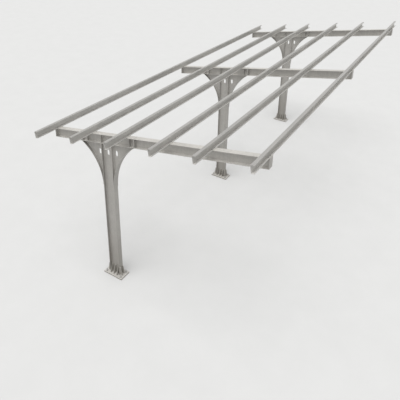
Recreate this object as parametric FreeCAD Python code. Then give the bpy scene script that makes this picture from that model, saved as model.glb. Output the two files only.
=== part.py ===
import FreeCAD, Part
import math
import os

# Bare steel frame of a cantilever carport: three columns with flared heads, sloping beams, six purlins.
# X runs along the beams towards the high side, Y along the purlins, Z up. Lengths are in millimetres.
# The origin is the middle of the underside of the middle base plate.

# Layout
frame_pitch = 5000.0
frame_names = ("front", "middle", "rear")
roof_slope = 10.0
beam_top_height = 3675.0
purlin_overhang = 620.0

# Base plate, its anchor holes and its fins
plate_length = 520.0
plate_width = 290.0
plate_thick = 30.0
anchor_edge_x = 55.0
anchor_edge_y = 45.0
anchor_hole_radius = 14.0
fin_thick = 12.0
fin_height = 220.0
fin_nose = 30.0
side_fin_pitch = 90.0
end_fin_pitch = 80.0
# How far each fin reaches, as a share of the way from the column to the plate's edge
side_fin_reach = 0.72
end_fin_reach = 0.50

# Column
column_depth = 285.0
column_width = 125.0
column_flange = 12.0
column_web = 8.0

# Beams: the stub on the column head and the two arms share one section, every end is cut plumb, and the
# arms end a margin past the outer purlins
beam_depth = 205.0
beam_width = 125.0
beam_flange = 10.0
beam_web = 7.0
cap_thick = 10.0
arm_low_margin = 40.0
arm_high_margin = 8.0

# Flared head, its height measured down from the beam's top face over the column
head_height = 1235.0
haunch_web_thick = 10.0
haunch_flange_thick = 10.0
slot_width = 56.0
slot_height = 125.0
slot_offset = 230.0
slot_drop = 425.0
stiffener_thick = 10.0
stiffener_low_inset = 148.0
stiffener_high_inset = 108.0

# Bolted splices between the stub and the arms, placed by their level distance from the column
splice_low = 685.0
splice_high = 740.0
splice_thick = 12.0
splice_gauge = 70.0
splice_row_pitch = 105.0
splice_hole_radius = 9.0
splice_hole_sides = 12

# Purlins: lipped channels, open towards the high side
purlin_depth = 150.0
purlin_flange = 60.0
purlin_lip = 20.0
purlin_thick = 3.0
purlin_bend = 5.0
purlin_first = -1482.0
purlin_pair_gap = 1061.0
purlin_pair_pitch = 1993.0
purlin_pairs = 3

slope = math.radians(roof_slope)
haunch_start = beam_top_height - head_height
stub_low_end = splice_thick - splice_low
stub_high_end = splice_high - splice_thick
frame_places = [(index - (len(frame_names) - 1) / 2) * frame_pitch for index in range(len(frame_names))]
purlin_places = [
    purlin_first + pair * purlin_pair_pitch + member * purlin_pair_gap
    for pair in range(purlin_pairs) for member in range(2)
]
arm_low_end = (purlin_places[0] - arm_low_margin) * math.cos(slope)
arm_high_end = (purlin_places[-1] + purlin_flange + arm_high_margin) * math.cos(slope)
roof_frame = FreeCAD.Placement(
    FreeCAD.Vector(0, 0, beam_top_height),
    FreeCAD.Rotation(FreeCAD.Vector(0, 1, 0), -roof_slope),
)


def vector(x, y, z):
    return FreeCAD.Vector(x, y, z)


def box(x0, x1, y0, y1, z0, z1):
    return Part.makeBox(x1 - x0, y1 - y0, z1 - z0, vector(x0, y0, z0))


def prism(points, direction):
    """A flat outline pushed out along a direction."""
    return Part.Face(Part.makePolygon(points + points[:1])).extrude(direction)


def i_section(depth, width, flange, web):
    """Outline of an I section as (u, v): u across its depth from one face, v across its width."""
    half, core = width / 2, web / 2
    return [
        (0, -half), (flange, -half), (flange, -core), (depth - flange, -core),
        (depth - flange, -half), (depth, -half), (depth, half), (depth - flange, half),
        (depth - flange, core), (flange, core), (flange, half), (0, half),
    ]


def in_roof_frame(shape):
    """Places a shape drawn along the beam, where z = 0 is the beam's top face."""
    shape.Placement = roof_frame
    return shape.copy()


def beam_top(x):
    """Height of the beam's top face above x."""
    return beam_top_height + x * math.tan(slope)


def beam_underside(x):
    """Height of the beam's underside above x."""
    return beam_top(x) - beam_depth / math.cos(slope)


def below_beam(x0, x1):
    """The space under the beam between x0 and x1."""
    points = [
        vector(x0, -column_depth, 0), vector(x1, -column_depth, 0),
        vector(x1, -column_depth, beam_underside(x1)), vector(x0, -column_depth, beam_underside(x0)),
    ]
    return prism(points, vector(0, 2 * column_depth, 0))


def base_plate():
    plate = box(-plate_length / 2, plate_length / 2, -plate_width / 2, plate_width / 2, 0, plate_thick)
    for sx in (-1, 1):
        for sy in (-1, 1):
            across = sx * (plate_length / 2 - anchor_edge_x)
            along = sy * (plate_width / 2 - anchor_edge_y)
            centre = vector(across, along, 0)
            plate = plate.cut(Part.makeCylinder(anchor_hole_radius, plate_thick, centre))
    return plate


def fin_outline(foot, edge, reach):
    """Outline of a tapered fin: its upright edge at foot, its low nose a share of the way to the edge."""
    tip = foot + reach * (edge - foot)
    top = plate_thick + fin_height
    crown = foot + math.copysign(fin_nose, edge)
    return [(foot, plate_thick), (tip, plate_thick), (tip, plate_thick + fin_nose), (crown, top), (foot, top)]


def base_fins():
    """Fins that tie the column's web and flanges to the base plate."""
    fins = []
    for side in (-1, 1):
        side_outline = fin_outline(side * column_web / 2, side * plate_width / 2, side_fin_reach)
        for place in (-side_fin_pitch, 0, side_fin_pitch):
            points = [vector(place - fin_thick / 2, u, z) for u, z in side_outline]
            fins.append(prism(points, vector(fin_thick, 0, 0)))
        end_outline = fin_outline(side * column_depth / 2, side * plate_length / 2, end_fin_reach)
        for place in (-end_fin_pitch / 2, end_fin_pitch / 2):
            points = [vector(u, place - fin_thick / 2, z) for u, z in end_outline]
            fins.append(prism(points, vector(0, fin_thick, 0)))
    return Part.makeCompound(fins)


def slot(x):
    """Upright oval hole through a web, at a set drop below the beam's top face."""
    radius = slot_width / 2
    centre = beam_top(x) - slot_drop
    low = centre - slot_height / 2 + radius
    high = centre + slot_height / 2 - radius
    cut = box(x - radius, x + radius, -column_width, column_width, low, high)
    for z in (low, high):
        end = Part.makeCylinder(radius, 2 * column_width, vector(x, -column_width, z), vector(0, 1, 0))
        cut = cut.fuse(end)
    return cut


def column():
    """The column runs from the base plate to the underside of the beam."""
    outline = i_section(column_depth, column_width, column_flange, column_web)
    points = [vector(u - column_depth / 2, v, plate_thick) for u, v in outline]
    shaft = prism(points, vector(0, 0, beam_top_height))
    return shaft.common(below_beam(-column_depth, column_depth)).cut(slot(0))


def head_end(side):
    """Place of the stub's end on one side."""
    return stub_high_end if side > 0 else stub_low_end


def haunch_circle(side):
    """Centre and radius of the circle that leaves the column upright and ends at the splice."""
    foot = column_depth / 2
    rise = beam_underside(head_end(side)) - haunch_start
    span = abs(head_end(side)) - foot
    radius = (span * span + rise * rise) / (2 * span)
    return foot + radius, radius


def haunch_point(side, centre, radius, turn):
    """Point on a haunch circle, from upright at the foot through the given turn."""
    return vector(side * (centre - radius * math.cos(turn)), 0, haunch_start + radius * math.sin(turn))


def haunch_arc(side, centre, radius):
    """Quarter circle from the foot, longer than needed so that the beam's underside can trim it."""
    points = [haunch_point(side, centre, radius, turn) for turn in (0, math.pi / 4, math.pi / 2)]
    return Part.Arc(*points).toShape(), points[0], points[2]


def plate_on_web(edges, thick):
    """A plate of the given thickness, centred on the frame's plane."""
    plate = Part.Face(Part.Wire(Part.__sortEdges__(edges))).extrude(vector(0, thick, 0))
    plate.translate(vector(0, -thick / 2, 0))
    return plate


def under_head(side):
    """The space under the stub beam on one side, from the column's flange to the splice."""
    low, high = sorted((side * column_depth / 2, head_end(side)))
    return below_beam(low, high)


def haunch_web(side):
    """Web plate between the column's flange and the curved flange, with its slot."""
    centre, radius = haunch_circle(side)
    arc, start, end = haunch_arc(side, centre, radius)
    above_beam = haunch_start + 2 * radius
    corners = [end, vector(end.x, 0, above_beam), vector(start.x, 0, above_beam), start]
    lines = [Part.makeLine(a, b) for a, b in zip(corners, corners[1:])]
    plate = plate_on_web([arc] + lines, haunch_web_thick)
    return plate.common(under_head(side)).cut(slot(side * slot_offset))


def haunch_flange(side):
    """Curved flange plate along the haunch web's edge, trimmed at the beam and the splice plate."""
    centre, radius = haunch_circle(side)
    outer, outer_start, outer_end = haunch_arc(side, centre, radius)
    inner, inner_start, inner_end = haunch_arc(side, centre, radius - haunch_flange_thick)
    ends = [Part.makeLine(outer_start, inner_start), Part.makeLine(outer_end, inner_end)]
    return plate_on_web([outer, inner] + ends, beam_width).common(under_head(side))


def beam_length(x0, x1):
    """A length of sloping beam between two plumb cuts."""
    outline = i_section(beam_depth, beam_width, beam_flange, beam_web)
    points = [vector(x0, v, beam_top(x0) - u / math.cos(slope)) for u, v in outline]
    return prism(points, vector(x1 - x0, 0, beam_top(x1) - beam_top(x0)))


def plumb_plate(x0, x1, y0, y1, edge=0):
    """Upright plate across the beam, short of the beam's top face and underside by an edge."""
    inset = edge / math.cos(slope)
    points = [
        vector(x0, y0, beam_underside(x0) + inset), vector(x1, y0, beam_underside(x1) + inset),
        vector(x1, y0, beam_top(x1) - inset), vector(x0, y0, beam_top(x0) - inset),
    ]
    return prism(points, vector(0, y1 - y0, 0))


def stub():
    return beam_length(stub_low_end, stub_high_end)


def stiffeners():
    """Plates between the stub's flanges: over the column's flanges and short of each splice."""
    column_line = (column_depth - column_flange) / 2
    places = [
        stub_low_end + stiffener_low_inset, -column_line,
        column_line, stub_high_end - stiffener_high_inset,
    ]
    plates = []
    for place in places:
        for side in (-1, 1):
            inner, outer = sorted((side * beam_web / 2, side * beam_width / 2))
            half = stiffener_thick / 2
            plates.append(plumb_plate(place - half, place + half, inner, outer, beam_flange))
    return Part.makeCompound(plates)


def splice_hole(centre, length):
    """Bolt hole along the beam, with few sides because there are so many of them."""
    turns = [2 * math.pi * step / splice_hole_sides for step in range(splice_hole_sides)]
    rim = [vector(0, math.cos(turn), math.sin(turn)) * splice_hole_radius for turn in turns]
    return prism([centre + offset for offset in rim], vector(length, 0, 0))


def splice_plate(x0, x1, plane):
    """Upright end plate with four bolt holes, level with those of its partner across the plane."""
    plate = plumb_plate(x0, x1, -beam_width / 2, beam_width / 2)
    middle = (beam_top(plane) + beam_underside(plane)) / 2
    for sy in (-1, 1):
        for sz in (-1, 1):
            centre = vector(x0, sy * splice_gauge / 2, middle + sz * splice_row_pitch / 2)
            plate = plate.cut(splice_hole(centre, x1 - x0))
    return plate


def head_splice_plates():
    """End plates of the stub."""
    low = splice_plate(-splice_low, stub_low_end, -splice_low)
    high = splice_plate(stub_high_end, splice_high, splice_high)
    return Part.makeCompound([low, high])


def arm_splice_plates():
    """Their partners on the arms."""
    low = splice_plate(-splice_low - splice_thick, -splice_low, -splice_low)
    high = splice_plate(splice_high, splice_high + splice_thick, splice_high)
    return Part.makeCompound([low, high])


def low_arm():
    return beam_length(arm_low_end + cap_thick, -splice_low - splice_thick)


def high_arm():
    return beam_length(splice_high + splice_thick, arm_high_end - cap_thick)


def arm_caps():
    """Plates that close the free ends of both arms."""
    half = beam_width / 2
    low = plumb_plate(arm_low_end, arm_low_end + cap_thick, -half, half)
    high = plumb_plate(arm_high_end - cap_thick, arm_high_end, -half, half)
    return Part.makeCompound([low, high])


def channel_line(inset):
    """Corners of the channel's section from lip to lip, at a distance inside its outer face."""
    far, top = purlin_flange - inset, purlin_depth - inset
    return [
        vector(far, 0, purlin_depth - purlin_lip), vector(far, 0, top), vector(inset, 0, top),
        vector(inset, 0, inset), vector(far, 0, inset), vector(far, 0, purlin_lip),
    ]


def rounded(corners, bend):
    """Edges along the corners, with a bend of the given radius at each inner one."""
    edges = []
    last = corners[0]
    for before, here, after in zip(corners, corners[1:], corners[2:]):
        back = (before - here).normalize()
        ahead = (after - here).normalize()
        start, end = here + back * bend, here + ahead * bend
        centre = here + (back + ahead) * bend
        middle = centre + (here - centre).normalize() * bend
        edges.append(Part.makeLine(last, start))
        edges.append(Part.Arc(start, middle, end).toShape())
        last = end
    edges.append(Part.makeLine(last, corners[-1]))
    return edges


def channel_face():
    """Section of the lipped channel, standing on the beam's top face with its web at zero."""
    outer, inner = channel_line(0), channel_line(purlin_thick)
    edges = rounded(outer, purlin_bend) + rounded(inner, purlin_bend - purlin_thick)
    edges += [Part.makeLine(outer[0], inner[0]), Part.makeLine(outer[-1], inner[-1])]
    return Part.Face(Part.Wire(Part.__sortEdges__(edges)))


def purlin(place):
    """Lipped channel lying on the beams, its web towards the low side."""
    length = (len(frame_names) - 1) * frame_pitch + 2 * purlin_overhang
    face = channel_face()
    face.translate(vector(place, -length / 2, 0))
    return in_roof_frame(face.extrude(vector(0, length, 0)))


def build_frame():
    """The pieces of one frame, standing at the origin."""
    return {
        "base_plate": base_plate(),
        "base_fins": base_fins(),
        "column": column(),
        "haunch_webs": Part.makeCompound([haunch_web(-1), haunch_web(1)]),
        "haunch_flanges": Part.makeCompound([haunch_flange(-1), haunch_flange(1)]),
        "head_beam": stub(),
        "head_stiffeners": stiffeners(),
        "head_splice_plates": head_splice_plates(),
        "arm_splice_plates": arm_splice_plates(),
        "low_arm": low_arm(),
        "high_arm": high_arm(),
        "arm_caps": arm_caps(),
    }


os.makedirs("parts", exist_ok=True)
pieces = build_frame()
for name, place in zip(frame_names, frame_places):
    for piece, shape in pieces.items():
        moved = shape.copy()
        moved.translate(vector(0, place, 0))
        moved.exportStep("parts/" + name + "_" + piece + ".step")
for number, place in enumerate(purlin_places, 1):
    purlin(place).exportStep("parts/purlin_" + str(number) + ".step")
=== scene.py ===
import math

import bmesh
import bpy
from mathutils import Matrix, Vector


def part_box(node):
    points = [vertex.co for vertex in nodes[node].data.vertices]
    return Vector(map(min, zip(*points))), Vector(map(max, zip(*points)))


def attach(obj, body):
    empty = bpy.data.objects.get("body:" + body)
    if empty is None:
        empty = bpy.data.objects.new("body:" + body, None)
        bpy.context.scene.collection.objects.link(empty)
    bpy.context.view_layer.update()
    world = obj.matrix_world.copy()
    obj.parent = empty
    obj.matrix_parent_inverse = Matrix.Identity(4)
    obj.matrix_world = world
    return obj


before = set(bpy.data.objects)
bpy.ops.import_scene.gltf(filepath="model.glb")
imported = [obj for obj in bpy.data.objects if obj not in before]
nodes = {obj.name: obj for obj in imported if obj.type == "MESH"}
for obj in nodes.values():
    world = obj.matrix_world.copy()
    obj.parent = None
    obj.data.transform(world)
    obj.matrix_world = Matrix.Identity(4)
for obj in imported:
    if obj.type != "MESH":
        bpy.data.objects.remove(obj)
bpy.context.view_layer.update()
frameNames = ("front", "middle", "rear")
print("frame loaded:", len(nodes), "nodes")

# The camera fits the photograph; its shift keeps the object in view from other sides too
camera = {
    "sensor": 36,
    "lens": 40.98,
    "shift": -0.25,
    "spot": (5.8969, -11.0706, 8.0474),
    "heading": 0.5469,
    "dip": 0.4084,
    "roll": 0.0212,
    "nearest": 0.1, "furthest": 200,
}

cameraData = bpy.data.cameras.new("camera")
cameraData.sensor_width = camera["sensor"]
cameraData.lens = camera["lens"]
cameraData.shift_y = camera["shift"]
cameraData.clip_start, cameraData.clip_end = camera["nearest"], camera["furthest"]
cameraPiece = bpy.data.objects.new("camera", cameraData)
cameraPiece.matrix_world = (
    Matrix.Translation(camera["spot"])
    @ Matrix.Rotation(camera["heading"], 4, "Z")
    @ Matrix.Rotation(math.pi / 2 - camera["dip"], 4, "X")
    @ Matrix.Rotation(camera["roll"], 4, "Z")
)
bpy.context.scene.collection.objects.link(cameraPiece)
bpy.context.scene.camera = cameraPiece

# Sizes read from the frame; the middle frame stands at y = 0 and the others are like it
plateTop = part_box("middle_base_plate")[1]
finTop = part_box("middle_base_fins")[1]
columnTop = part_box("middle_column")[1]
headLow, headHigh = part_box("middle_head_beam")
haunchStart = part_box("middle_haunch_flanges")[0].z
stiffenerLow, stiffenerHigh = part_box("middle_head_stiffeners")
spliceLow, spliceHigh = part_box("middle_head_splice_plates")
spliceThick = spliceHigh.x - headHigh.x
lowArm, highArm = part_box("middle_low_arm"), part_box("middle_high_arm")
railCount = sum(name.startswith("purlin") for name in nodes)
lowRail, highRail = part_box("purlin_1")[1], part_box("purlin_%d" % railCount)[1]
roofSlope = math.atan2(highRail.z - lowRail.z, highRail.x - lowRail.x)
uphill = Vector((math.cos(roofSlope), 0, math.sin(roofSlope)))
down = Vector((uphill.z, 0, -uphill.x))  # square to the beams
frameSpots = {name: sum(corner.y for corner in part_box(name + "_base_plate")) / 2 for name in frameNames}
steel = {
    "columnFlange": 0.012, "columnWeb": 0.008,
    "beamFlange": 0.010, "beamWeb": 0.007,
    "haunchWeb": 0.010,
    "stiffener": 0.010,
    "fin": 0.012, "sideFinPitch": 0.090, "endFinPitch": 0.080,
}


def beamTop(x):
    return headHigh.z + (x - headHigh.x) * math.tan(roofSlope)


beamDrop = beamTop(columnTop.x) - columnTop.z  # plumb height of the beam's section


def beamUnder(x):
    return beamTop(x) - beamDrop


class Wire:
    # one socket in a material's nodes; sums on it add Math nodes
    def __init__(self, paint, socket):
        self.paint = paint
        self.socket = socket

    def maths(self, operation, first, second):
        return self.paint.add("Math", {"operation": operation}, {0: first, 1: second})

    def __add__(self, other):
        return self.maths("ADD", self, other)

    def __sub__(self, other):
        return self.maths("SUBTRACT", self, other)

    def __rsub__(self, other):
        return self.maths("SUBTRACT", other, self)

    def __mul__(self, other):
        return self.maths("MULTIPLY", self, other)

    __radd__ = __add__
    __rmul__ = __mul__


noiseRough = 0.6  # strength of each finer layer of a noise


class Paint:
    # a material, or the world, made from nodes
    def __init__(self, owner):
        self.owner = owner
        owner.use_nodes = True
        self.tree = owner.node_tree
        self.tree.nodes.clear()

    def add(self, kind, settings, values, out=0):
        # settings go on first, then the values or links of the sockets
        node = self.tree.nodes.new("ShaderNode" + kind)
        for name, setting in settings.items():
            setattr(node, name, setting)
        for name, value in values.items():
            if isinstance(value, Wire):
                self.tree.links.new(value.socket, node.inputs[name])
            else:
                node.inputs[name].default_value = value
        return Wire(self, node.outputs[out]) if node.outputs else node

    def spread(self, value, low, high, toLow, toHigh):
        # carries a value from one range to another, held at its ends
        return self.add("MapRange", {"interpolation_type": "SMOOTHSTEP"}, {
            "Value": value, "From Min": low, "From Max": high, "To Min": toLow, "To Max": toHigh,
        })

    def noise(self, place, scale, detail):
        values = {"Vector": place, "Scale": scale, "Detail": detail, "Roughness": noiseRough}
        return self.add("TexNoise", {}, values, "Fac")

    def shade(self, colour, light):
        # multiplies a colour by a grey value
        grey = self.add("CombineColor", {}, {0: light, 1: light, 2: light})
        settings = {"data_type": "RGBA", "blend_type": "MULTIPLY"}
        return self.add("Mix", settings, {0: 1.0, 6: colour, 7: grey}, 2)

    def blend(self, share, first, second):
        return self.add("Mix", {"data_type": "RGBA"}, {0: share, 6: first, 7: second}, 2)


def newPaint(name):
    return Paint(bpy.data.materials.new(name))


frameZinc = {
    "colour": (0.500, 0.484, 0.453, 1),
    "dustAndShade": (0.33, 0.312, 0.28, 1),
    "topDarkening": 0,              # how far what faces up above the beams is darkened
    "paintedShade": (0, 0),        # painted shade on inner faces of flanges: how far it darkens low down and just under the beam
    "spangle": 0.016,       # size of a zinc crystal
    "spangleTone": 0.13,
    "cloud": 0.45,          # size of the dull patches
    "cloudTone": 0.10,
    "run": (26, 26, 1.3),   # runs of zinc, long where the value is small
    "runTone": 0.07,
    "metal": 0.20,
    "gloss": 0.52,
    "bump": 0.12,
    "dustAndShadeHeight": 1.7,          # height up to which dirt from the ground and painted shade darken the frame
}
# the column's and the haunch's zinc get painted shade on the inner faces of their flanges
columnZinc = dict(frameZinc, paintedShade=(0.22, 0.22))
haunchZinc = dict(frameZinc, paintedShade=(0.22, 0.64))
# the splice plates and head stiffeners get a darker copy of the frame's zinc: painted shade
plateZincPaintedShade = dict(frameZinc, colour=(0.41, 0.397, 0.372, 1))
railZinc = dict(
    frameZinc, colour=(0.610, 0.598, 0.570, 1), topDarkening=0.44, spangle=0.007, spangleTone=0.10, cloud=0.8,
    run=(45, 0.7, 45), metal=0.20, gloss=0.46, bump=0.06, dustAndShadeHeight=0,
)
weldZinc = dict(frameZinc, colour=(0.515, 0.502, 0.476, 1), spangle=0.005, metal=0.25, gloss=0.46, bump=0.2)
boltZinc = dict(
    frameZinc, colour=(0.42, 0.415, 0.40, 1), spangle=0.004, cloud=0.05,
    run=(60, 60, 60), metal=0.5, gloss=0.42, dustAndShadeHeight=0,
)


# What all the zinc finishes share; a range gives where a change starts and ends
coat = {
    "soften": 0.3,                      # how far crystals melt together in the relief
    "cloudDetail": 5, "cloudRange": (0.3, 0.7),
    "patchDetail": 3, "patchShare": 4,  # patches are this many times smaller than clouds
    "runDetail": 4, "runRange": (0.35, 0.7),
    "ragged": 0.3,                      # how far noise moves the edges of the top darkening and of the darkening towards the floor
    "topDarkeningHeight": (0.05, 0.1), "topDarkeningFacing": (0.5, 0.9),
    "paintedShadeRagged": 0.2, "paintedShadeStart": 0.35, "paintedShadeEnd": 0.05, "paintedShadeInward": (0.05, 0.13),
    "dustAndShadeShare": 0.9, "dustAndShadeFacing": (0.4, 0.9), "dustAndShadeRuns": (0.2, 0.8, 0.6, 1),
    "crystalRough": 0.2, "cloudRough": 0.3,
    "crystalRise": 0.6, "runRise": 0.5, "patchRise": 1.2, "riseDepth": 0.004,
}


def aboveBeams(paint, place):
    # height over the beams' top faces, square to them
    values = {0: place, 1: tuple(-down)}
    return paint.add("VectorMath", {"operation": "DOT_PRODUCT"}, values, "Value") - beamTop(0) * uphill.x


def galvanised(name, look):
    # zinc coat with crystals, dull clouds and faint runs; then darkening of what faces up above the beams,
    # painted shade on inner flange faces, and dirt thrown up from the ground with painted shade towards the
    # floor
    paint = newPaint(name)
    place = paint.add("TexCoord", {}, {}, "Object")
    crystals = {"Vector": place, "Scale": 1 / look["spangle"]}
    crystal = paint.add("SeparateColor", {}, {0: paint.add("TexVoronoi", {}, crystals, "Color")})
    melted = dict(crystals, Smoothness=coat["soften"])
    crystalRise = paint.add("TexVoronoi", {"feature": "SMOOTH_F1"}, melted, "Distance")
    cloud = paint.noise(place, 1 / look["cloud"], coat["cloudDetail"])
    patch = paint.noise(place, coat["patchShare"] / look["cloud"], coat["patchDetail"])
    stretched = paint.add("Mapping", {}, {"Vector": place, "Scale": look["run"]})
    runs = paint.noise(stretched, 1, coat["runDetail"])
    tone = (
        1.0
        + (crystal - 0.5) * look["spangleTone"]
        + (paint.spread(cloud, *coat["cloudRange"], -0.5, 0.5) + (patch - 0.5)) * look["cloudTone"]
        + paint.spread(runs, *coat["runRange"], -0.5, 0.5) * look["runTone"]
    )
    outward = paint.add("NewGeometry", {}, {}, "True Normal")
    facing = paint.add("SeparateXYZ", {}, {0: outward}, "Z")
    # what faces up above the beams is darkened
    if look["topDarkening"]:
        topDarkening = paint.spread(aboveBeams(paint, place), *coat["topDarkeningHeight"], 0, look["topDarkening"])
        upward = paint.spread(facing + (patch - 0.5) * coat["ragged"], *coat["topDarkeningFacing"], 0, 1)
        tone = tone * (1 - topDarkening * upward)
    # painted shade: inner faces of flanges darker, deepest just under the beam
    if look["paintedShade"][1]:
        across = paint.add("SeparateXYZ", {}, {0: place}, "X")
        inward = paint.add("SeparateXYZ", {}, {0: outward}, "X") * across * -1
        below = aboveBeams(paint, place) + beamDrop * uphill.x + (patch - 0.5) * coat["paintedShadeRagged"]
        paintedShade = paint.spread(below, -coat["paintedShadeStart"], -coat["paintedShadeEnd"], *look["paintedShade"])
        tone = tone * (1 - paintedShade * paint.spread(inward, *coat["paintedShadeInward"], 0, 1))
    colour = paint.shade(look["colour"], tone)
    # dirt thrown up from the ground and painted shade: sides and undersides darker towards the floor
    if look["dustAndShadeHeight"]:
        height = paint.add("SeparateXYZ", {}, {0: place}, "Z")
        height = height + (patch - 0.5) * coat["ragged"]
        lowDustAndShade = paint.spread(height, 0, look["dustAndShadeHeight"], coat["dustAndShadeShare"], 0)
        notFacingUp = paint.spread(facing, *coat["dustAndShadeFacing"], 1, 0)
        share = lowDustAndShade * notFacingUp * paint.spread(runs, *coat["dustAndShadeRuns"])
        colour = paint.blend(share, colour, look["dustAndShade"])
    rough = look["gloss"] + (crystal - 0.5) * coat["crystalRough"] + (cloud - 0.5) * coat["cloudRough"]
    relief = crystalRise * coat["crystalRise"] + runs * coat["runRise"] + patch * coat["patchRise"]
    bump = {"Strength": look["bump"], "Distance": coat["riseDepth"], "Height": relief}
    normal = paint.add("Bump", {}, bump)
    shader = paint.add("BsdfPrincipled", {}, {
        "Base Color": colour, "Metallic": look["metal"], "Roughness": rough, "Normal": normal,
    })
    paint.add("OutputMaterial", {}, {"Surface": shader})
    return paint.owner


frameFinish = galvanised("frame_zinc", frameZinc)
columnFinish = galvanised("column_zinc", columnZinc)
haunchFinish = galvanised("haunch_zinc", haunchZinc)
plateFinishPaintedShade = galvanised("plate_zinc_painted_shade", plateZincPaintedShade)
railFinish = galvanised("rail_zinc", railZinc)
weldFinish = galvanised("weld_zinc", weldZinc)
boltFinish = galvanised("bolt_zinc", boltZinc)
finishes = {
    "_column": columnFinish, "_haunch_flanges": haunchFinish,
    "_splice_plates": plateFinishPaintedShade, "_head_stiffeners": plateFinishPaintedShade,
}
for name, node in nodes.items():
    finish = railFinish if name.startswith("purlin") else frameFinish
    for ending, other in finishes.items():
        if name.endswith(ending):
            finish = other
    for materialSlot in node.material_slots:
        materialSlot.material = finish
print("finishes made")


turnedMerge = 1e-5  # vertices closer than this are one
boltSmooth, weldSmooth = 35, 50  # degrees under which an edge is smooth


def turned(profile, steps):
    # spins a line of (radius, height) points round Z
    bm = bmesh.new()
    line = [bm.verts.new((radius, 0, height)) for radius, height in profile]
    edges = [bm.edges.new(pair) for pair in zip(line, line[1:])]
    around = {"cent": (0, 0, 0), "axis": (0, 0, 1), "angle": 2 * math.pi, "steps": steps, "use_merge": True}
    bmesh.ops.spin(bm, geom=line + edges, **around)
    bmesh.ops.remove_doubles(bm, verts=bm.verts, dist=turnedMerge)
    bmesh.ops.recalc_face_normals(bm, faces=bm.faces)
    return bm


def disc(radius, thick, steps):
    return turned([(0, 0), (radius, 0), (radius, thick), (0, thick)], steps)


hexShape = {"steps": 24, "rim": 0.95, "chamfer": math.radians(30)}


def hexBlock(flats, height):
    # nut or bolt head, its corners turned down to a cone
    half = flats / 2
    rim = half * hexShape["rim"]
    bm = turned([(0, 0), (half, 0), (half, height), (rim, height), (0, height)], hexShape["steps"])
    for vert in bm.verts:
        reach = vert.co.xy.length
        if reach > (half + rim) / 2:
            turn = math.atan2(vert.co.y, vert.co.x) % (math.pi / 3) - math.pi / 6
            wide = half / math.cos(turn)
            vert.co.xy *= wide / reach
            if vert.co.z > height / 2:
                vert.co.z = height - (wide - rim) * math.tan(hexShape["chamfer"])
    return bm


threadSteps = 16


def threadEnd(radius, pitch, start, end):
    # threaded end of a stud or bolt, as rings
    root = radius - pitch / 2
    profile = [(0, start), (root, start)]
    for turn in range(int((end - start) / pitch)):
        height = start + turn * pitch
        profile += [(radius, height + pitch / 2), (root, height + pitch)]
    profile += [(root, end), (0, end)]
    return turned(profile, threadSteps)


def stamp(bm, shape, place):
    # copies a shape into another at a place
    first = len(bm.verts)
    copy = bpy.data.meshes.new("copy")
    shape.to_mesh(copy)
    bm.from_mesh(copy)
    bpy.data.meshes.remove(copy)
    bm.verts.ensure_lookup_table()
    bmesh.ops.transform(bm, matrix=place, verts=bm.verts[first:])


def stack(layers):
    # joins shapes along Z, each raised to its own height and turned over where asked
    bm = bmesh.new()
    for shape, rise, over in layers:
        stamp(bm, shape, Matrix.Translation((0, 0, rise)) @ Matrix.Rotation(math.pi if over else 0, 4, "X"))
    return bm


def newPiece(name, bm, finish, smooth=boltSmooth):
    data = bpy.data.meshes.new(name)
    bm.to_mesh(data)
    bm.free()
    data.materials.append(finish)
    data.shade_smooth()
    data.set_sharp_from_angle(angle=math.radians(smooth))
    piece = bpy.data.objects.new(name, data)
    bpy.context.scene.collection.objects.link(piece)
    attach(piece, "root")
    return piece


# Fillet welds: legs of a bead lie on two plates, and the bead's section is given in leg lengths
weld = {
    "leg": 0.006,
    "ripple": 0.009,
    "crest": 0.7,       # where in a ripple its crest stands
    "swell": 0.09,
    "wobble": 0.04, "wobblePace": 1.7,
    "taper": 0.6,       # size of both ends
    "arcSteps": 40,
    "merge": 1e-6,
    "section": [(-0.1, -0.1), (1, -0.1), (0.82, 0.33), (0.6, 0.6), (0.33, 0.82), (-0.1, 1), (-0.1, -0.1)],
}


def bead(bm, along, length, steps=0):
    # along(share) gives the corner and both legs' directions; hand beads ripple, others take plain steps
    ripples = max(2, round(length / weld["ripple"]))
    rings = steps or 2 * ripples
    rows = len(weld["section"]) - 1
    shape = bmesh.new()
    bmesh.ops.create_grid(shape, x_segments=rings, y_segments=rows, size=1)
    for vert in shape.verts:
        ring = round((vert.co.x + 1) / 2 * rings)
        first, second = weld["section"][round((vert.co.y + 1) / 2 * rows)]
        size = weld["leg"]
        if steps:
            share = ring / rings
        else:
            crest = ring % 2
            share = (ring // 2 + weld["crest"] * crest) / ripples
            wobble = weld["wobble"] * math.sin(ring * weld["wobblePace"])
            size *= 1 + weld["swell"] * (crest - 0.5) * 2 + wobble
            if ring in (0, rings):
                size *= weld["taper"]
        corner, firstLeg, secondLeg = along(share)
        vert.co = corner + (firstLeg * first + secondLeg * second) * size
    bmesh.ops.remove_doubles(shape, verts=shape.verts, dist=weld["merge"])
    bmesh.ops.holes_fill(shape, edges=[edge for edge in shape.edges if edge.is_boundary], sides=0)
    bmesh.ops.recalc_face_normals(shape, faces=shape.faces)
    stamp(bm, shape, Matrix())


def run(bm, start, end, firstLeg, secondLeg, steps=0):
    # straight bead between two points
    start, end = Vector(start), Vector(end)
    firstLeg, secondLeg = Vector(firstLeg), Vector(secondLeg)
    bead(bm, lambda share: (start.lerp(end, share), firstLeg, secondLeg), (end - start).length, steps)


def gaps(low, high, places, thick):
    # what plates of one thickness leave free between two ends
    ends = [low] + [place + side * thick / 2 for place in places for side in (-1, 1)] + [high]
    return zip(ends[::2], ends[1::2])


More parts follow.
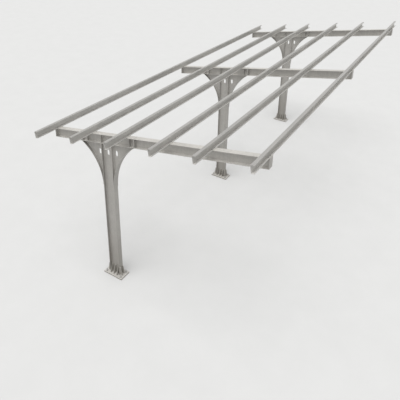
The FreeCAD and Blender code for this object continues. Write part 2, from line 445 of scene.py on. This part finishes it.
def footWelds(bm):
    half, edge = columnTop.x, columnTop.y
    inner, core = half - steel["columnFlange"], steel["columnWeb"] / 2
    base, crown = plateTop.z, finTop.z
    sidePlaces = (-steel["sideFinPitch"], 0, steel["sideFinPitch"])
    endPlaces = (-steel["endFinPitch"] / 2, steel["endFinPitch"] / 2)
    for side in (-1, 1):
        outward, along = (side, 0, 0), (0, side, 0)
        for start, end in gaps(-edge, edge, endPlaces, steel["fin"]):
            run(bm, (side * half, start, base), (side * half, end, base), outward, (0, 0, 1))
        for start, end in gaps(-inner, inner, sidePlaces, steel["fin"]):
            run(bm, (start, side * core, base), (end, side * core, base), along, (0, 0, 1))
        for end in (-1, 1):
            tip = (end * inner, side * edge, base)
            run(bm, (end * inner, side * core, base), tip, (-end, 0, 0), (0, 0, 1))
            run(bm, tip, (end * half, side * edge, base), along, (0, 0, 1))
        for face in (-1, 1):
            for place in sidePlaces:
                x = place + face * steel["fin"] / 2
                run(bm, (x, side * core, base), (x, side * finTop.y, base), (face, 0, 0), (0, 0, 1))
                run(bm, (x, side * core, base), (x, side * core, crown), (face, 0, 0), along)
                run(bm, (place, side * finTop.y, base), (x, side * finTop.y, base), along, (0, 0, 1))
            for place in endPlaces:
                y = place + face * steel["fin"] / 2
                run(bm, (side * half, y, base), (side * finTop.x, y, base), (0, face, 0), (0, 0, 1))
                run(bm, (side * half, y, base), (side * half, y, crown), (0, face, 0), outward)
                run(bm, (side * finTop.x, place, base), (side * finTop.x, y, base), outward, (0, 0, 1))


def haunchWelds(bm, side):
    # the curved flange leaves the column upright and meets the beam at the splice
    foot, edge, core = columnTop.x, columnTop.y, steel["haunchWeb"] / 2
    tip = headHigh.x if side > 0 else headLow.x
    rise, span = beamUnder(tip) - haunchStart, abs(tip) - foot
    radius = (span ** 2 + rise ** 2) / (2 * span)
    sweep = math.acos(1 - span / radius)
    start = side * foot
    top = beamUnder(start)
    for face in (-1, 1):
        def curve(share):
            turn = sweep * share
            away = Vector((-side * math.cos(turn), 0, math.sin(turn)))
            centre = Vector((side * (foot + radius), face * core, haunchStart))
            return centre + away * radius, away, Vector((0, face, 0))

        bead(bm, curve, radius * sweep, weld["arcSteps"])
        y = face * core
        run(bm, (start, y, haunchStart), (start, y, top), (side, 0, 0), (0, face, 0))
        run(bm, (start, y, top), (tip, y, beamUnder(tip)), down, (0, face, 0))
    run(bm, (start, -edge, haunchStart), (start, edge, haunchStart), (side, 0, 0), (0, 0, -1))


def headWelds(bm):
    # the column under the beam, and the plates between the beam's flanges
    inner, edge, core = columnTop.x - steel["columnFlange"], columnTop.y, steel["columnWeb"] / 2
    beamCore = steel["beamWeb"] / 2
    inset = steel["beamFlange"] / uphill.x
    column = columnTop.x - steel["columnFlange"] / 2
    half = steel["stiffener"] / 2
    places = (stiffenerLow.x + half, -column, column, stiffenerHigh.x - half)
    for side in (-1, 1):
        low, high = (-inner, side * core, beamUnder(-inner)), (inner, side * core, beamUnder(inner))
        run(bm, low, high, down, (0, side, 0))
        for end in (-1, 1):
            corner = (end * inner, side * core, beamUnder(end * inner))
            run(bm, corner, (corner[0], side * edge, corner[2]), -end * uphill, (0, 0, -1))
        for place in places:
            for face in (-1, 1):
                plateWelds(bm, place + face * half, face, side, beamCore, edge, inset)


def plateWelds(bm, x, face, side, core, edge, inset):
    # one side of an upright plate between the beam's web and flanges
    low, high = beamUnder(x) + inset, beamTop(x) - inset
    run(bm, (x, side * core, low), (x, side * core, high), (face, 0, 0), (0, side, 0))
    for z, up in ((low, 1), (high, -1)):
        run(bm, (x, side * core, z), (x, side * edge, z), face * uphill, (0, 0, up))


def endWelds(bm):
    # both ends of each length of beam against its end plates
    core, edge = steel["beamWeb"] / 2, columnTop.y
    inset = steel["beamFlange"] / uphill.x
    for low, high in (lowArm, (headLow, headHigh), highArm):
        for x, face in ((low.x, 1), (high.x, -1)):
            for side in (-1, 1):
                plateWelds(bm, x, face, side, core, edge, inset)


def seamWelds(bm):
    # long plain beads between web and flanges, on the column and the beams
    inner, core = columnTop.x - steel["columnFlange"], steel["columnWeb"] / 2
    beamCore, inset = steel["beamWeb"] / 2, steel["beamFlange"] / uphill.x
    for side in (-1, 1):
        along = (0, side, 0)
        for end in (-1, 1):
            x, y = end * inner, side * core
            run(bm, (x, y, plateTop.z), (x, y, beamUnder(x)), (-end, 0, 0), along, 1)
        y = side * beamCore
        for low, high in (lowArm, (headLow, headHigh), highArm):
            for level, up in ((beamUnder, 1), (beamTop, -1)):
                start = (low.x, y, level(low.x) + up * inset)
                end = (high.x, y, level(high.x) + up * inset)
                run(bm, start, end, (-up * uphill.z, 0, up * uphill.x), along, 1)


frameWelds = bmesh.new()
footWelds(frameWelds)
for side in (-1, 1):
    haunchWelds(frameWelds, side)
headWelds(frameWelds)
endWelds(frameWelds)
seamWelds(frameWelds)
for name in frameNames:
    bm = bmesh.new()
    stamp(bm, frameWelds, Matrix.Translation((0, frameSpots[name], 0)))
    newPiece(name + "_welds", bm, weldFinish, weldSmooth)
weldTriangles = sum(len(face.verts) - 2 for face in frameWelds.faces)
print("welds made:", len(frameNames) * weldTriangles, "triangles")
frameWelds.free()

anchor = {
    "edgeX": 0.055, "edgeY": 0.045,
    "thread": 0.012, "pitch": 0.003, "stickUp": 0.062,
    "nutFlats": 0.036, "nutHeight": 0.0215,
    "washer": 0.025, "washerThick": 0.005, "washerSteps": 32,
    "turn": 0.4,        # how far one nut stands turned from the next
}
nutTop = anchor["washerThick"] + anchor["nutHeight"]
anchorShape = stack([
    (disc(anchor["washer"], anchor["washerThick"], anchor["washerSteps"]), 0, False),
    (hexBlock(anchor["nutFlats"], anchor["nutHeight"]), anchor["washerThick"], False),
    (threadEnd(anchor["thread"], anchor["pitch"], nutTop - anchor["pitch"], anchor["stickUp"]), 0, False),
])
for name in frameNames:
    bm = bmesh.new()
    for sideX in (-1, 1):
        for sideY in (-1, 1):
            x = sideX * (plateTop.x - anchor["edgeX"])
            y = frameSpots[name] + sideY * (plateTop.y - anchor["edgeY"])
            turn = Matrix.Rotation(anchor["turn"] * (sideX + 2 * sideY), 4, "Z")
            stamp(bm, anchorShape, Matrix.Translation((x, y, plateTop.z)) @ turn)
    newPiece(name + "_anchor_bolts", bm, boltFinish)
print("anchor bolts made")

spliceBolt = {
    "gauge": 0.070, "rows": 0.105,
    "thread": 0.008, "pitch": 0.002, "tail": 0.007,
    "flats": 0.024, "head": 0.010, "nut": 0.013,
    "washer": 0.015, "washerThick": 0.003, "washerSteps": 24, "turn": 0.5,
}
railBolt = {
    "gauge": 0.070, "flange": 0.060, "sheet": 0.003,
    "thread": 0.006, "pitch": 0.00175, "tail": 0.007,
    "flats": 0.019, "head": 0.0075, "nut": 0.010,
    "washer": 0.012, "washerThick": 0.0025, "washerSteps": 24, "turn": 0.6,
}


def boltStack(size, above, below):
    # head above the upper face, nut and thread below the lower face, both with washers
    washer = disc(size["washer"], size["washerThick"], size["washerSteps"])
    tail = size["washerThick"] + size["nut"]
    end = threadEnd(size["thread"], size["pitch"], tail - size["pitch"], tail + size["tail"])
    return stack([
        (washer, above, False), (hexBlock(size["flats"], size["head"]), above + size["washerThick"], False),
        (washer, -below, True), (hexBlock(size["flats"], size["nut"]), -below - size["washerThick"], True),
        (end, -below, True),
    ])


spliceShape = boltStack(spliceBolt, spliceThick, spliceThick)
railShape = boltStack(railBolt, railBolt["sheet"], steel["beamFlange"])
for name in frameNames:
    bm = bmesh.new()
    for plane, side in ((spliceLow.x, -1), (spliceHigh.x, 1)):
        facing = Matrix.Rotation(-side * math.pi / 2, 4, "Y")
        for sideY in (-1, 1):
            for sideZ in (-1, 1):
                y = frameSpots[name] + sideY * spliceBolt["gauge"] / 2
                z = beamTop(plane) - beamDrop / 2 + sideZ * spliceBolt["rows"] / 2
                turn = Matrix.Rotation(spliceBolt["turn"] * (sideY + 2 * sideZ), 4, "Z")
                stamp(bm, spliceShape, Matrix.Translation((plane, y, z)) @ facing @ turn)
    newPiece(name + "_splice_bolts", bm, boltFinish)

    bm = bmesh.new()
    for rail in range(1, railCount + 1):
        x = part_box("purlin_%d" % rail)[1].x - railBolt["flange"] / 2 * uphill.x
        for sideY in (-1, 1):
            y = frameSpots[name] + sideY * railBolt["gauge"] / 2
            turn = Matrix.Rotation(railBolt["turn"] * (sideY + 2 * rail), 4, "Z")
            tilt = Matrix.Rotation(-roofSlope, 4, "Y")
            stamp(bm, railShape, Matrix.Translation((x, y, beamTop(x))) @ tilt @ turn)
    newPiece(name + "_purlin_bolts", bm, boltFinish)
print("bolts made")

# Angles in degrees; the camera sees the backdrop and the pale floor, the object the sky and the bounce
light = {
    "sun": 2.40, "sunSize": 40, "leanFront": 14, "leanRight": 0,
    "sky": 0.66, "backdrop": 0.80,
    "floor": 0.585, "floorBounce": 0.30,
}
ground = {
    "size": 120, "grain": 1.5, "grainDetail": 6, "toneRange": (0.2, 0.8, 0.985, 1.015),
    "warmth": 0.99, "rough": 0.9, "shine": 0.1,
}

floorPaint = newPaint("floor_pale")
seen = floorPaint.add("LightPath", {}, {}, "Is Camera Ray")
mirrored = floorPaint.add("LightPath", {}, {}, "Is Glossy Ray")
shown = floorPaint.add("Math", {"operation": "MAXIMUM"}, {0: seen, 1: mirrored})
floorPlace = floorPaint.add("TexCoord", {}, {}, "Object")
floorGrain = floorPaint.noise(floorPlace, ground["grain"], ground["grainDetail"])
dull, pale = light["floorBounce"], light["floor"]
floorColour = floorPaint.blend(shown, (dull, dull, dull, 1), (pale, pale, pale * ground["warmth"], 1))
floorShade = floorPaint.shade(floorColour, floorPaint.spread(floorGrain, *ground["toneRange"]))
floorLook = {"Base Color": floorShade, "Roughness": ground["rough"], "Specular IOR Level": ground["shine"]}
floorPaint.add("OutputMaterial", {}, {"Surface": floorPaint.add("BsdfPrincipled", {}, floorLook)})

bm = bmesh.new()
bmesh.ops.create_grid(bm, x_segments=1, y_segments=1, size=ground["size"])
floorData = bpy.data.meshes.new("floor")
bm.to_mesh(floorData)
bm.free()
floorData.materials.append(floorPaint.owner)
floor = bpy.data.objects.new("floor", floorData)
bpy.context.scene.collection.objects.link(floor)

sunData = bpy.data.lights.new("sun", "SUN")
sunData.energy = light["sun"]
sunData.angle = math.radians(light["sunSize"])
sun = bpy.data.objects.new("sun", sunData)
sun.rotation_euler = (math.radians(light["leanFront"]), math.radians(light["leanRight"]), 0)
bpy.context.scene.collection.objects.link(sun)

sky = Paint(bpy.data.worlds.new("sky"))
bpy.context.scene.world = sky.owner
skyShown = sky.add("LightPath", {}, {}, "Is Camera Ray")
for ray in ("Is Glossy Ray", "Is Transmission Ray"):
    skyShown = sky.add("Math", {"operation": "MAXIMUM"}, {0: skyShown, 1: sky.add("LightPath", {}, {}, ray)})
skyLight = sky.add("Background", {}, {"Color": (1, 1, 1, 1), "Strength": light["sky"]})
skyBackdrop = sky.add("Background", {}, {"Color": (1, 1, 1, 1), "Strength": light["backdrop"]})
skyMix = sky.add("MixShader", {}, {0: skyShown, 1: skyLight, 2: skyBackdrop})
sky.add("OutputWorld", {}, {"Surface": skyMix})
bpy.context.scene.view_settings.view_transform = "Standard"
print("floor and light made")
